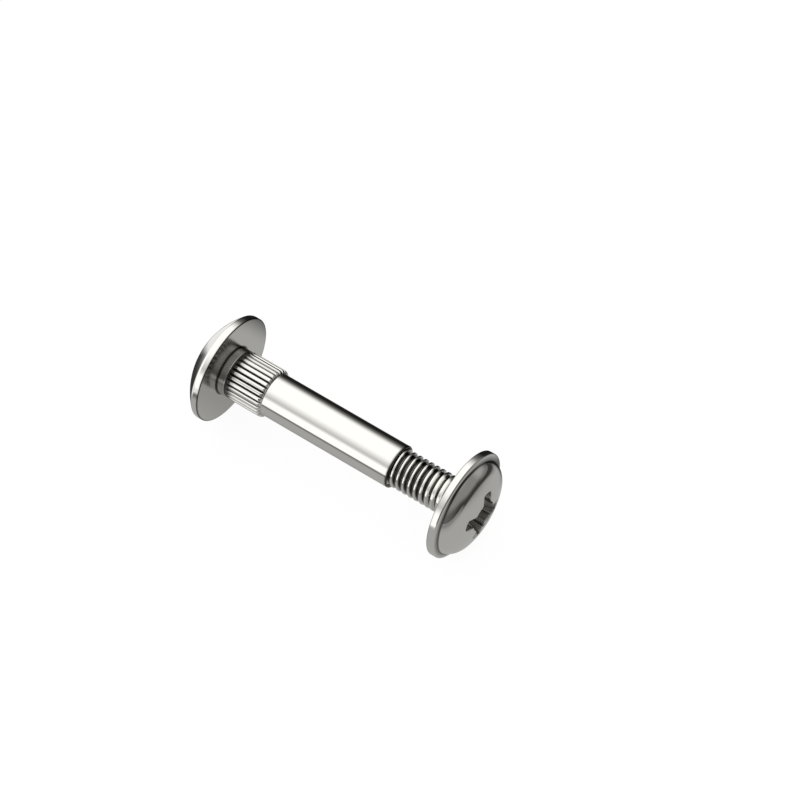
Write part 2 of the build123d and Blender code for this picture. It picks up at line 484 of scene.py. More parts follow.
@dataclass(frozen=True)
class Barrel:
    """Sleeve nut with a domed head, a ribbed length under it and a tapped bore.

    A support is the distance at which a profile has a further point beside a rounded corner, so that the
    flat there shades flat. A line is the reach of a painted dark line along an edge, and a shade how far
    painted shade darkens a surface, from 0 to 1. A pair is where a change starts and where it ends.

    Args:
        line: the bolt's axis.
        rib_column_degrees: columns from the middle of a groove to a crest, in degrees.
        rib_foot_fade: distances from the collar between which painted shade on the ribs deepens towards it.
        groove_shading: shares of a groove's depth at which painted shade starts and is darkest.
        bore_phases: rows of the tapped thread from crest to crest, in turns.
    """

    line: BoltLine
    # head
    head_radius: float = 8.5
    rim_height: float = 1.05
    rim_edge_round: float = 0.12
    rim_support: float = 0.3
    rim_margin: float = 0.05
    face_margin: float = 0.01
    dome_radius: float = 11.7
    dome_edge_round: float = 0.5
    dome_rows: int = 25
    # collar
    collar_radius: float = 3.8
    collar_length: float = 1.3
    collar_round: float = 0.12
    collar_foot_round: float = 0.08
    collar_support: float = 0.35
    # painted shade over the collar, and reaches of the painted dark lines at the edges and the collar's foot
    painted_collar_shade: float = 0.4
    painted_edge_line: float = 0.2
    painted_foot_line: float = 0.32
    # ribs
    rib_crest_radius: float = 3.86
    rib_count: int = 28
    rib_lead_in: float = 1.7
    rib_full_length: float = 3.35
    rib_run_out: float = 1.4
    rib_end_sharpness: int = 8
    rib_end_rows: int = 17
    rib_full_rows: int = 7
    rib_column_degrees: tuple[float, ...] = (0.0, 0.45, 1.4, 2.4, 3.1, 4.3)
    # painted shade on the ribs towards the collar
    painted_rib_foot_shade: float = 0.9
    rib_foot_fade: Pair = (2.1, 0.2)
    groove_floor_radius: float = 3.4
    groove_half_angle: float = math.radians(25.0)
    groove_edge_round: float = 0.05
    groove_least_lean: float = 0.01
    groove_shading: Pair = (0.25, 0.65)
    groove_slight_depth: float = 0.02
    # sleeve and mouth
    length: float = 30.0
    sleeve_radius: float = 3.4
    sleeve_supports: tuple[float, ...] = (0.0, 0.03, 0.1)
    sleeve_margin: float = 1.0
    sleeve_rows: int = 6
    mouth_round: float = 0.2
    mouth_support: float = 0.45
    # reach of the painted dark line round the mouth's rounded edge
    painted_mouth_line: float = 0.4
    countersink: float = 0.1
    countersink_round: float = 0.03
    # bore
    bore_radius: float = 3.05
    bore_bottom: float = 4.0
    bottom_support: float = 0.05
    bore_phases: tuple[float, ...] = (0.18, 0.24, 0.5, 0.76, 0.82)
    tapped_depth: float = 0.15
    tapped_crest: float = 0.2
    tap_starts_over: float = 0.5
    tap_ends_over: float = 2.0
    drill_half_angle: float = math.radians(59.0)

    @property
    def rib_end(self) -> float:
        """x at which the ribs have run out into the sleeve."""
        return self.collar_length + self.rib_lead_in + self.rib_full_length + self.rib_run_out

    @property
    def angles(self) -> Array:
        """Columns gathered at the edges of the grooves, twelve to a rib.

        Returns:
            Angles from the middle of a groove all the way round, closing on the first.
        """
        rib = FULL_TURN / self.rib_count
        half = np.radians(self.rib_column_degrees)
        one_rib = np.concatenate([half, [rib / 2.0], rib - half[:0:-1]])
        starts = np.arange(self.rib_count)[:, None] * rib
        return np.concatenate([(starts + one_rib).reshape(-1), [FULL_TURN]])

    def head_profile(self) -> Array:
        """Dome, rim, underside and collar, from the crown to the foot of the collar's end.

        Formula: the dome is an arc of the dome's radius about a centre on the axis. The rest is straight
        with rounded corners.

        Returns:
            Points (x, r).
        """
        edge = math.asin(self.head_radius / self.dome_radius)
        sweep = np.linspace(0.0, edge, self.dome_rows)
        centre = -self.rim_height + self.dome_radius * math.cos(edge)
        dome = np.zeros((self.dome_rows, 3))
        dome[:, 0] = centre - self.dome_radius * np.cos(sweep)
        dome[:, 1] = self.dome_radius * np.sin(sweep)
        dome[-1, 2] = self.dome_edge_round
        rest = [
            (-self.rim_support, self.head_radius, 0.0),
            (0.0, self.head_radius, self.rim_edge_round),
            (0.0, self.head_radius - self.rim_support, 0.0),
            (0.0, self.collar_radius + self.collar_support, 0.0),
            (0.0, self.collar_radius, self.collar_foot_round),
            (self.collar_support, self.collar_radius, 0.0),
            (self.collar_length - self.collar_support, self.collar_radius, 0.0),
            (self.collar_length, self.collar_radius, self.collar_round),
            (self.collar_length, self.sleeve_radius, 0.0),
        ]
        return rounded_profile(np.concatenate([dome, rest]))

    def add_head(self, skin: Skin, angles: Array) -> None:
        """Adds head and collar, with a duller underside, and painted shade on the collar, edges and crease.

        Args:
            skin: the piece so far.
            angles: one for each column.
        """
        profile = self.head_profile()
        middle = (profile[1:] + profile[:-1]) / 2.0
        dull = (middle[:, 0] > -self.face_margin) & (middle[:, 1] < self.head_radius - self.rim_margin)
        edges = [(0.0, self.head_radius), (self.collar_length, self.sleeve_radius)]
        foot = [(0.0, self.collar_radius)]
        collar = (profile[:, :1] > 0.0) & (profile[:, 1:] < self.collar_radius + SAME_POINT)
        # painted dark lines at the rim's edge and the collar's end, painted shade in the crease at the
        # collar's foot and over the collar
        dark = [
            nearness(profile, edges, self.painted_edge_line),
            nearness(profile, foot, self.painted_foot_line),
            self.painted_collar_shade * collar,
        ]
        finish = np.where(dull, BarrelPart.UNDERSIDE, BarrelPart.HEAD)
        skin.add(turned(profile, angles), finish, np.maximum.reduce(dark))

    def ribs(self, angles: Array) -> tuple[Array, Array]:
        """Ribs with V grooves between them, with painted shade in the grooves and towards the collar.

        Formula: the crests' height rises over the lead-in as 1 - (1 - t)^8 of its full height, stays, and
        falls the same way over the run-out, where t is the share of that length from its low end. The flank
        of the groove at angle w from its middle is at radius floor * sin(a) / sin(a - w), where a is half
        the groove's angle. The surface is the soft minimum of the two.

        Args:
            angles: one for each column.

        Returns:
            Points, rows by columns by 3, and the painted shade of each, from 0 to 1.
        """
        full_start = self.collar_length + self.rib_lead_in
        full_end = full_start + self.rib_full_length
        share = np.linspace(0.0, 1.0, self.rib_end_rows)
        rows = [
            self.collar_length + self.rib_lead_in * share**2,
            np.linspace(full_start, full_end, self.rib_full_rows)[1:],
            self.rib_end - self.rib_run_out * share[-2::-1] ** 2,
        ]
        x = np.concatenate(rows)[:, None]
        lead_in = np.clip((x - self.collar_length) / self.rib_lead_in, 0.0, 1.0)
        run_out = np.clip((self.rib_end - x) / self.rib_run_out, 0.0, 1.0)
        rise = 1.0 - (1.0 - np.minimum(lead_in, run_out)) ** self.rib_end_sharpness
        crest = self.sleeve_radius + (self.rib_crest_radius - self.sleeve_radius) * rise
        rib = FULL_TURN / self.rib_count
        off = np.abs((angles + rib / 2.0) % rib - rib / 2.0)
        a = self.groove_half_angle
        # a - w is held a little over 0, where the flank stands far outside the crest
        lean = np.maximum(a - off, self.groove_least_lean)
        flank = self.groove_floor_radius * math.sin(a) / np.sin(lean)
        radius = soft_minimum(crest, flank, self.groove_edge_round)
        radius[[0, -1]] = self.sleeve_radius
        # the painted shade stays light where a groove is only slight
        depth = (crest - radius) / (crest - self.groove_floor_radius + self.groove_slight_depth)
        # painted shade that deepens on the ribs towards the collar
        foot = self.painted_rib_foot_shade * eased(x - self.collar_length, self.rib_foot_fade)
        hollow = np.maximum(eased(depth, self.groove_shading), foot)
        hollow[-1] = 0.0
        return round_the_axis(x + 0.0 * radius, radius, angles), hollow

    def mouth_profile(self) -> Array:
        """Plain sleeve, rounded edge of the mouth, end face and countersunk edge of the bore.

        Returns:
            Points (x, r).
        """
        first, last = self.rib_end + self.sleeve_margin, self.length - self.sleeve_margin
        plain = [
            *(self.rib_end + support for support in self.sleeve_supports),
            *np.linspace(first, last, self.sleeve_rows),
            self.length - self.mouth_support,
        ]
        corners = [
            *((x, self.sleeve_radius, 0.0) for x in plain),
            (self.length, self.sleeve_radius, self.mouth_round),
            (self.length, self.bore_radius + self.countersink, self.countersink_round),
            (self.length - self.countersink, self.bore_radius, 0.0),
        ]
        return rounded_profile(np.array(corners))

    def bore(self, angles: Array) -> tuple[Array, Array]:
        """Tapped bore, from the mouth to its bottom.

        Formula: rows follow the helix x = pitch * (turn + angle / full turn), held between the two ends. The
        radius is the bore's plus a V-shaped groove that is deepest half a pitch from the crest and fades at
        both ends.

        Args:
            angles: one for each column.

        Returns:
            Points, rows by columns by 3, and how deep in the groove each lies.
        """
        mouth = self.length - self.countersink
        # the helix needs a turn or two past each end, so that every column reaches both
        first = math.floor(self.bore_bottom / THREAD_PITCH) - 2
        turns = math.ceil((mouth - self.bore_bottom) / THREAD_PITCH) + 4
        rows = (first + np.arange(turns)[:, None] + np.array(self.bore_phases)).reshape(-1)[::-1, None]
        x = np.clip(THREAD_PITCH * (rows + angles / FULL_TURN), self.bore_bottom, mouth)
        phase = (x / THREAD_PITCH - angles / FULL_TURN) % 1.0
        groove = (0.5 - np.abs(phase - 0.5) - self.tapped_crest) / (0.5 - self.tapped_crest)
        groove = np.clip(groove, 0.0, 1.0)
        groove = groove * np.clip((mouth - x) / self.tap_starts_over, 0.0, 1.0)
        groove = groove * np.clip((x - self.bore_bottom) / self.tap_ends_over, 0.0, 1.0)
        return round_the_axis(x, self.bore_radius + self.tapped_depth * groove, angles), groove

    def bottom_profile(self) -> Array:
        """Cone that the drill left at the end of the bore, with a point just in from its edge.

        Returns:
            Points (x, r).
        """
        tip = self.bore_bottom - self.bore_radius / math.tan(self.drill_half_angle)
        edge = (self.bore_bottom, self.bore_radius)
        return np.array([edge, (self.bore_bottom, self.bore_radius - self.bottom_support), (tip, 0.0)])

    def build(self) -> bpy.types.Object:
        """Builds and dresses the barrel, which stands for its solid.

        Returns:
            The piece.
        """
        finishes = {
            BarrelPart.HEAD: NickelPlate("nickel_barrel_head", marks=Marks.FACED, mark_pitch=0.2),
            BarrelPart.SLEEVE: NickelPlate("nickel_sleeve", marks=Marks.TURNED, mark_pitch=0.15),
            BarrelPart.RIBS: NickelPlate("nickel_ribs", marks=Marks.PRESSED, mark_pitch=0.1),
            BarrelPart.BORE: NickelPlate("nickel_bore", polish=0.16, haze=0.1, tint=(0.62, 0.60, 0.57)),
            BarrelPart.UNDERSIDE: NickelPlate("nickel_underside", marks=Marks.FACED, polish=0.17, haze=0.05),
        }
        angles = self.angles
        skin = Skin()
        self.add_head(skin, angles)
        ribs, hollow = self.ribs(angles)
        skin.add(ribs, BarrelPart.RIBS, hollow)
        mouth = self.mouth_profile()
        # painted dark line round the rounded edge of the mouth
        painted_mouth_shade = nearness(mouth, [(self.length, self.sleeve_radius)], self.painted_mouth_line)
        skin.add(turned(mouth, angles), BarrelPart.SLEEVE, painted_mouth_shade)
        # the tapped groove's depth also serves as painted shade in the bore
        bore, hollow = self.bore(angles)
        skin.add(bore, BarrelPart.BORE, hollow)
        skin.add(turned(self.bottom_profile(), angles), BarrelPart.BORE)
        materials = [finishes[part].material(self.line) for part in BarrelPart]
        piece = skin.build("barrel_nut", Vector((self.line.barrel_seat, 0.0, self.line.height)), materials)
        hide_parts("barrel")
        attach(piece, "barrel")
        return piece


# --- The screw ----------------------------------------------------------------------------------------


@dataclass(frozen=True)
class PanDome:
    """Low crown that turns over a round shoulder into a steep wall, from the head's underside.

    Args:
        foot: x of the wall's foot.
        foot_radius: radius of the wall's foot.
        height: x of the crown's middle.
    """

    foot: float
    foot_radius: float
    height: float
    shoulder_radius: float = 2.45
    shoulder_rows: int = 13
    crown_rows: int = 4
    foot_angle: float = math.radians(77.0)
    foot_gap: float = math.radians(5.0)

    @property
    def shoulder_centre(self) -> Pair:
        """Centre (x, r) of the shoulder's arc."""
        x = self.foot - self.shoulder_radius * math.cos(self.foot_angle)
        return x, self.foot_radius - self.shoulder_radius * math.sin(self.foot_angle)

    @property
    def crown_radius(self) -> float:
        """Radius of the one sphere through the crown's middle that runs smoothly into the shoulder.

        Formula: (f^2 + r^2 - s^2) / (2 * (f - s)), where f is the fall from the crown's middle to the
        shoulder's centre, r that centre's distance from the axis and s the shoulder's radius.

        Returns:
            The radius.
        """
        x, r = self.shoulder_centre
        fall = self.height - x
        return (fall**2 + r**2 - self.shoulder_radius**2) / (2.0 * (fall - self.shoulder_radius))

    def crown(self, radius: Array | float) -> Array:
        """x of the crown at a radius: centre + sqrt(crown radius^2 - radius^2)."""
        return self.height - self.crown_radius + np.sqrt(self.crown_radius**2 - np.square(radius))

    def profile(self, inner: float) -> Array:
        """Shoulder and crown, from just above the foot in to a radius.

        Formula: the shoulder's arc runs from a little above the foot to the angle at which the line from the
        crown's centre through the shoulder's centre stands. The crown's arc runs on from there.

        Args:
            inner: radius at which the profile ends, inside the shoulder.

        Returns:
            Points (x, r).
        """
        x, r = self.shoulder_centre
        top = math.atan2(r, x - self.height + self.crown_radius)
        sweep = np.linspace(self.foot_angle - self.foot_gap, top, self.shoulder_rows)
        arc_x, arc_r = self.shoulder_radius * np.cos(sweep), self.shoulder_radius * np.sin(sweep)
        radii = np.linspace(self.crown_radius * math.sin(top), inner, self.crown_rows)[1:]
        crown = np.stack([self.crown(radii), radii], axis=-1)
        return np.concatenate([np.stack([x + arc_x, r + arc_r], axis=-1), crown])


@dataclass(frozen=True)
class CrossRecess:
    """Cross recess for a screwdriver: four arms about a round core.

    Args:
        turn: angle of the first arm from +Y towards +Z.
        streak_waves: strength, waves all round and start of each wave of the painted shade on the walls.
        corner_reach: columns over which the painted dark line down a corner fades.
        wear: how many times the outline's points are averaged with their neighbours.
        lip_bends: degrees that the rows of the lip have turned from the dome.
        floor_shares: how far the floor's rows lie from the walls to the circle that the floor closes on.
        point_shares: radii of the rows of the punched point, as shares of that circle's.
    """

    turn: float = math.radians(68.0)
    reach: float = 4.05
    half_width: float = 0.95
    core_radius: float = 2.4
    depth: float = 2.9
    arm_draft: float = math.radians(30.0)
    wall_draft: float = math.radians(4.0)
    wall_rows: int = 10
    floor_radius: float = 1.5
    floor_shares: tuple[float, ...] = (0.04, 0.35, 0.7, 1.0)
    point_depth: float = 0.5
    point_shares: tuple[float, ...] = (0.96, 0.6, 0.25, 0.0)
    lip_round: float = 0.12
    lip_bends: tuple[float, ...] = (30.0, 60.0, 90.0)
    wear: int = 2
    # painted shade on the walls: its level, the waves of its streak pattern and its reach down the corners
    streak_level: float = 0.15
    streak_waves: tuple[tuple[float, ...], ...] = ((0.3, 7.0, 1.0), (0.2, 19.0, 0.0), (0.15, 43.0, 2.0))
    corner_reach: float = 2.0

    @staticmethod
    def spans(columns: int) -> tuple[int, int, int]:
        """How the columns of half an arm are shared out.

        Args:
            columns: columns round the whole edge, a multiple of 8.

        Returns:
            Columns over half the arm's tip, along its side, and round the core to half way to the next arm.
        """
        half = columns // 8
        tip, core = half // 4, half * 3 // 8
        return tip, half - tip - core, core

    def streaks(self, columns: int) -> Array:
        """Painted shade on each column of the walls, streaked to stand in for reflections, closed on its
        first column.

        Formula: the level plus strength * sin(waves * t + start) of each wave, cut off at 0 and 1, or more
        down the corners. There it is 1 less the share of the corner's reach.

        Args:
            columns: points round the whole edge, a multiple of 8.

        Returns:
            Values from 0 to 1.
        """
        t = np.linspace(0.0, FULL_TURN, columns + 1)
        waves = sum(strength * np.sin(times * t + start) for strength, times, start in self.streak_waves)
        tip, side, core = self.spans(columns)
        half = tip + side + core
        from_arm = half - np.abs(np.arange(columns + 1) % (2 * half) - half)
        to_corner = np.minimum(np.abs(from_arm - tip), np.abs(from_arm - tip - side))
        return np.clip(np.maximum(self.streak_level + waves, 1.0 - to_corner / self.corner_reach), 0.0, 1.0)

    def outline(self, columns: int, down: float) -> Array:
        """The recess's edge at a share of its depth, as complex numbers y + i z.

        Formula: half an arm is an arc of the reach out to the arm's side, the straight side in to the core,
        and an arc of the core to half way to the next arm. It is mirrored about the arm and turned to the
        four arms, and its corners are worn round by averaging neighbours.

        Args:
            columns: points round the whole edge, a multiple of 8.
            down: 0 at the top and 1 at the floor.

        Returns:
            The points, the first on the axis of the first arm.
        """
        narrowing = down * self.depth * math.tan(self.wall_draft)
        reach = self.reach - down * self.depth * math.tan(self.arm_draft)
        width, core = self.half_width - narrowing, self.core_radius - narrowing
        tip_span, side_span, core_span = self.spans(columns)
        tip_angle, core_angle = math.asin(width / reach), math.asin(width / core)
        arc = reach * np.exp(1j * np.linspace(0.0, tip_angle, tip_span + 1))
        side = np.linspace(arc[-1], core * np.exp(1j * core_angle), side_span + 1)[1:]
        inner = core * np.exp(1j * np.linspace(core_angle, math.pi / 4.0, core_span + 1))[1:]
        half_arm = np.concatenate([arc, side, inner])
        arm = np.concatenate([np.conj(half_arm[:0:-1]), half_arm[:-1]])
        edge = (1j ** np.arange(4)[:, None] * arm[None, :]).reshape(-1)
        edge = np.roll(edge, -(len(half_arm) - 1))
        for _ in range(self.wear):
            edge = 0.25 * np.roll(edge, 1) + 0.5 * edge + 0.25 * np.roll(edge, -1)
        return edge * np.exp(1j * self.turn)


class ScrewPart(IntEnum):
    """Parts of the screw that differ in finish, each with the number of its material."""

    HEAD = 0
    THREAD = 1
    RECESS = 2


@dataclass(frozen=True)
class Screw:
    """Machine screw with a domed head, a ledge round the dome and a cross recess.

    Supports, lines, shades and pairs are as for the barrel.

    Args:
        line: the bolt's axis.
        recess: the recess in the head.
        columns: columns all round, a multiple of 8 for the recess.
        flank_phases: rows from a crest to the root, in turns.
        run_out: distances back from the seat between which the crests widen and the flanks' painted shade
            draws back.
        thread_ends: distances back from the seat between which the grooves end.
        groove_shading: shares of a groove's depth at which painted shade starts and is darkest.
    """

    line: BoltLine
    recess: CrossRecess = CrossRecess()
    columns: int = 144
    # shank
    length: float = 25.0
    tip_radius: float = 2.36
    tip_support: float = 1.2
    crest_radius: float = 3.0
    crest_half_width: float = 0.11
    thread_depth: float = 0.6134
    flank_angle: float = math.radians(24.0)
    flank_phases: tuple[float, ...] = (0.09, 0.11, 0.14, 0.19, 0.25, 0.31, 0.36, 0.43)
    root_round: float = 0.1
    run_out: Pair = (6.5, 2.2)
    run_out_widening: float = 0.10
    # how far the painted shade on the flanks draws back by the head
    painted_shade_retreat: float = 0.42
    thread_ends: Pair = (1.1, 0.55)
    # where painted shade starts and is darkest in a groove, and its strength away from the head
    groove_shading: Pair = (0.22, 0.42)
    groove_shade: float = 0.91
    groove_slight_depth: float = 0.03
    neck_radius: float = 2.93
    neck_round: float = 0.1
    neck_flare: float = 0.12
    neck_foot_round: float = 0.05
    neck_support: float = 0.5
    # head
    head_radius: float = 8.5
    rim_height: float = 1.1
    rim_round: float = 0.12
    rim_outer_round: float = 0.2
    rim_support: float = 0.3
    ledge_rise: float = 0.25
    ledge_width: float = 0.95
    ledge_round: float = 0.08
    dome_height: float = 4.3
    dome_rows: int = 25
    inner_radius: float = 5.4
    # painted dark lines at the rim's edge and in the creases at the neck and the dome's foot
    painted_joint_line: float = 0.17
    painted_joint_shade: float = 0.85

    @property
    def pan(self) -> PanDome:
        """The dome, with its foot at the inner edge of the ledge."""
        foot, foot_radius = self.rim_height + self.ledge_rise, self.head_radius - self.ledge_width
        return PanDome(foot, foot_radius, self.dome_height)

    def thread_radius(self, x: Array, angles: Array) -> tuple[Array, Array]:
        """Radius of the rolled thread, and the painted shade at each point.

        Formula: with p the distance along the axis from the middle of the nearest crest, the groove's depth
        is (|p| - half a crest) / tan(flank angle), no deeper than the thread. The crests widen towards the
        head, so that the groove narrows, and by the neck a lift ends it. There the crest eases to the neck's
        radius, and at the point a 45 degree cone cuts the crests down. Painted shade darkens the flanks
        from about a third of the depth down, and towards the head it draws back to the groove's bottom.

        Args:
            x: places along the axis from the seat, rows by columns.
            angles: one for each column.

        Returns:
            Radii and painted shades from 0 to 1, rows by columns.
        """
        phase = (x + self.line.between_seats) / THREAD_PITCH - angles / FULL_TURN
        off = np.abs((phase + 0.5) % 1.0 - 0.5) * THREAD_PITCH
        near_head = eased(-x, self.run_out)
        half_crest = (self.crest_half_width + self.run_out_widening * near_head) * THREAD_PITCH
        flank = (off - half_crest) / math.tan(self.flank_angle)
        ended = eased(-x, self.thread_ends)
        lift = self.thread_depth * ended
        drop = np.maximum(soft_minimum(flank, self.thread_depth, self.root_round) - lift, 0.0)
        crest = self.crest_radius + (self.neck_radius - self.crest_radius) * ended
        # the painted shade stays light where the groove is only slight
        share = drop / (self.thread_depth - lift + self.groove_slight_depth)
        # strength of the painted shade, full by the head
        shade = self.groove_shade + (1.0 - self.groove_shade) * near_head
        hollow = eased(share - self.painted_shade_retreat * near_head, self.groove_shading) * shade
        return np.minimum(crest - drop, self.tip_radius + x + self.length), hollow

    def thread(self, angles: Array) -> tuple[Array, Array]:
        """Thread from the point to the neck.

        Formula: rows follow the helix x = pitch * (turn + angle / full turn), held between the two ends.

        Args:
            angles: one for each column.

        Returns:
            Points, rows by columns by 3, and the painted shade of each.
        """
        flank = np.array(self.flank_phases)
        phases = np.concatenate([[0.0], flank, [0.5], 1.0 - flank[::-1]])
        start, end = -self.length, -self.thread_ends[1]
        # the helix needs a turn or two past each end, so that every column reaches both
        lowest = math.floor((start + self.line.between_seats) / THREAD_PITCH) - 3
        turns = math.ceil((end - start) / THREAD_PITCH) + 5
        rows = (lowest + np.arange(turns)[:, None] + phases).reshape(-1)[:, None]
        x = np.clip(THREAD_PITCH * (rows + angles / FULL_TURN) - self.line.between_seats, start, end)
        radius, hollow = self.thread_radius(x, angles)
        return round_the_axis(x, radius, angles), hollow

    def point_profile(self) -> Array:
        """Flat end of the point, from the axis out to the thread."""
        return np.array([(-self.length, radius) for radius in (0.0, self.tip_support, self.tip_radius)])

    def head_profile(self) -> Array:
        """Neck, underside, rim, ledge and shoulder, out and round to the crown.

        Returns:
            Points (x, r).
        """
        pan = self.pan
        corners = [
            (-self.thread_ends[1], self.neck_radius, 0.0),
            (-self.neck_flare, self.neck_radius, self.neck_round),
            (0.0, self.neck_radius + self.neck_flare, self.neck_foot_round),
            (0.0, self.neck_radius + self.neck_support, 0.0),
            (0.0, self.head_radius - self.rim_support, 0.0),
            (0.0, self.head_radius, self.rim_round),
            (self.rim_support, self.head_radius, 0.0),
            (self.rim_height, self.head_radius, self.rim_outer_round),
            (pan.foot, pan.foot_radius, self.ledge_round),
            *((x, r, 0.0) for x, r in pan.profile(self.inner_radius)),
        ]
        return rounded_profile(np.array(corners))

    def add_head(self, skin: Skin, angles: Array) -> None:
        """Adds the underside, rim and shoulder, with painted shade lines at the rim's edge and where the
        shank and dome meet them.

        Args:
            skin: the piece so far.
            angles: one for each column.
        """
        profile = self.head_profile()
        # painted dark line along the rim's edge, and painted shade in the creases at the neck and the dome's
        # foot
        painted_corners = [(0.0, self.head_radius), (0.0, self.neck_radius), (self.pan.foot, self.pan.foot_radius)]
        lines = nearness(profile, painted_corners, self.painted_joint_line) * self.painted_joint_shade
        skin.add(turned(profile, angles), ScrewPart.HEAD, lines)

    def dome(self, angles: Array) -> Array:
        """Crown, from its outer part in to the lip of the recess.

        Formula: ring s is the mean, weighted by s, of a circle and of the recess's edge set out by the lip's
        rounding. Each point stands on the crown's sphere.

        Args:
            angles: one for each column.

        Returns:
            Points, rows by columns by 3.
        """
        circle = self.inner_radius * np.exp(1j * angles)
        share = np.linspace(0.0, 1.0, self.dome_rows)[:, None]
        ring = (1.0 - share) * circle + share * self.lip(1.0)
        return self.ring(ring, self.pan.crown(np.abs(ring)))

    def lip(self, out: float) -> Array:
        """The recess's edge set out square to itself, closed on its first point.

        Args:
            out: how far it is set out, as a share of the lip's rounding.

        Returns:
            Points y + i z.
        """
        edge = self.recess.outline(self.columns, 0.0)
        along = np.roll(edge, -1) - np.roll(edge, 1)
        edge = edge - 1j * along / np.abs(along) * self.recess.lip_round * out
        return np.append(edge, edge[0])

    def recess_surface(self, angles: Array) -> Array:
        """Rounded lip, drafted walls, floor and punched point of the recess.

        Formula: over the lip a quarter circle turns from the dome down into the wall. The walls run straight
        from the edge at the top to the narrower edge at the floor. The floor closes on a circle, and a cone
        closes that.

        Args:
            angles: one for each column.

        Returns:
            Points, rows by columns by 3.
        """
        recess = self.recess
        rings: list[Array] = []
        for bend in np.radians(recess.lip_bends):
            edge = self.lip(1.0 - math.sin(bend))
            sunk = recess.lip_round * (1.0 - math.cos(bend))
            rings.append(self.ring(edge, self.pan.crown(np.abs(edge)) - sunk))
        floor_x = float(self.pan.crown(recess.reach)) - recess.depth
        bottom = recess.outline(self.columns, 1.0)
        bottom = np.append(bottom, bottom[0])
        lip, floor = rings[-1], self.ring(bottom, floor_x)
        for share in np.linspace(0.0, 1.0, recess.wall_rows + 1)[1:]:
            rings.append(lip + (floor - lip) * share)
        core = recess.floor_radius * np.exp(1j * angles)
        for share in recess.floor_shares:
            rings.append(self.ring(bottom + (core - bottom) * share, floor_x))
        for share in recess.point_shares:
            rings.append(self.ring(core * share, floor_x - recess.point_depth * (1.0 - share)))
        return np.stack(rings)

    @staticmethod
    def ring(edge: Array, x: Array | float) -> Array:
        """Points at x from complex numbers y + i z."""
        return np.stack([x + 0.0 * edge.real, edge.real, edge.imag], axis=-1)

    def build(self) -> bpy.types.Object:
        """Builds and dresses the screw, which stands for its solid.

        Returns:
            The piece.
        """
        # colour of the painted shade in the thread's grooves
        painted_thread_shade = (0.08, 0.078, 0.072)
        finishes = {
            ScrewPart.HEAD: NickelPlate("nickel_screw_head", marks=Marks.FACED, mark_pitch=0.2),
            ScrewPart.THREAD: NickelPlate(
                "nickel_thread", shade=painted_thread_shade, marks=Marks.PRESSED, mark_depth=0.00005
            ),
            ScrewPart.RECESS: NickelPlate(
                "nickel_recess", polish=0.2, haze=0.03, marks=Marks.PRESSED, mark_depth=0.00003
            ),
        }
        angles = even_angles(self.columns, self.recess.turn)
        skin = Skin()
        skin.add(turned(self.point_profile(), angles), ScrewPart.THREAD)
        thread, hollow = self.thread(angles)
        skin.add(thread, ScrewPart.THREAD, hollow)
        self.add_head(skin, angles)
        dome = self.dome(angles)
        skin.add(dome, ScrewPart.HEAD)
        recess = np.concatenate([dome[-1:], self.recess_surface(angles)])
        lip_rows = 3  # the head's finish goes two thirds of the way round the lip
        skin.add(recess[:lip_rows], ScrewPart.HEAD)
        # the walls carry painted shade, streaked to stand in for reflections, with painted dark lines down
        # the corners
        skin.add(recess[lip_rows - 1 :], ScrewPart.RECESS, self.recess.streaks(self.columns))
        materials = [finishes[part].material(self.line) for part in ScrewPart]
        piece = skin.build("cap_screw", Vector((self.line.screw_seat, 0.0, self.line.height)), materials)
        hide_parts("screw")
        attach(piece, "screw")
        return piece


# --- The studio ---------------------------------------------------------------------------------------


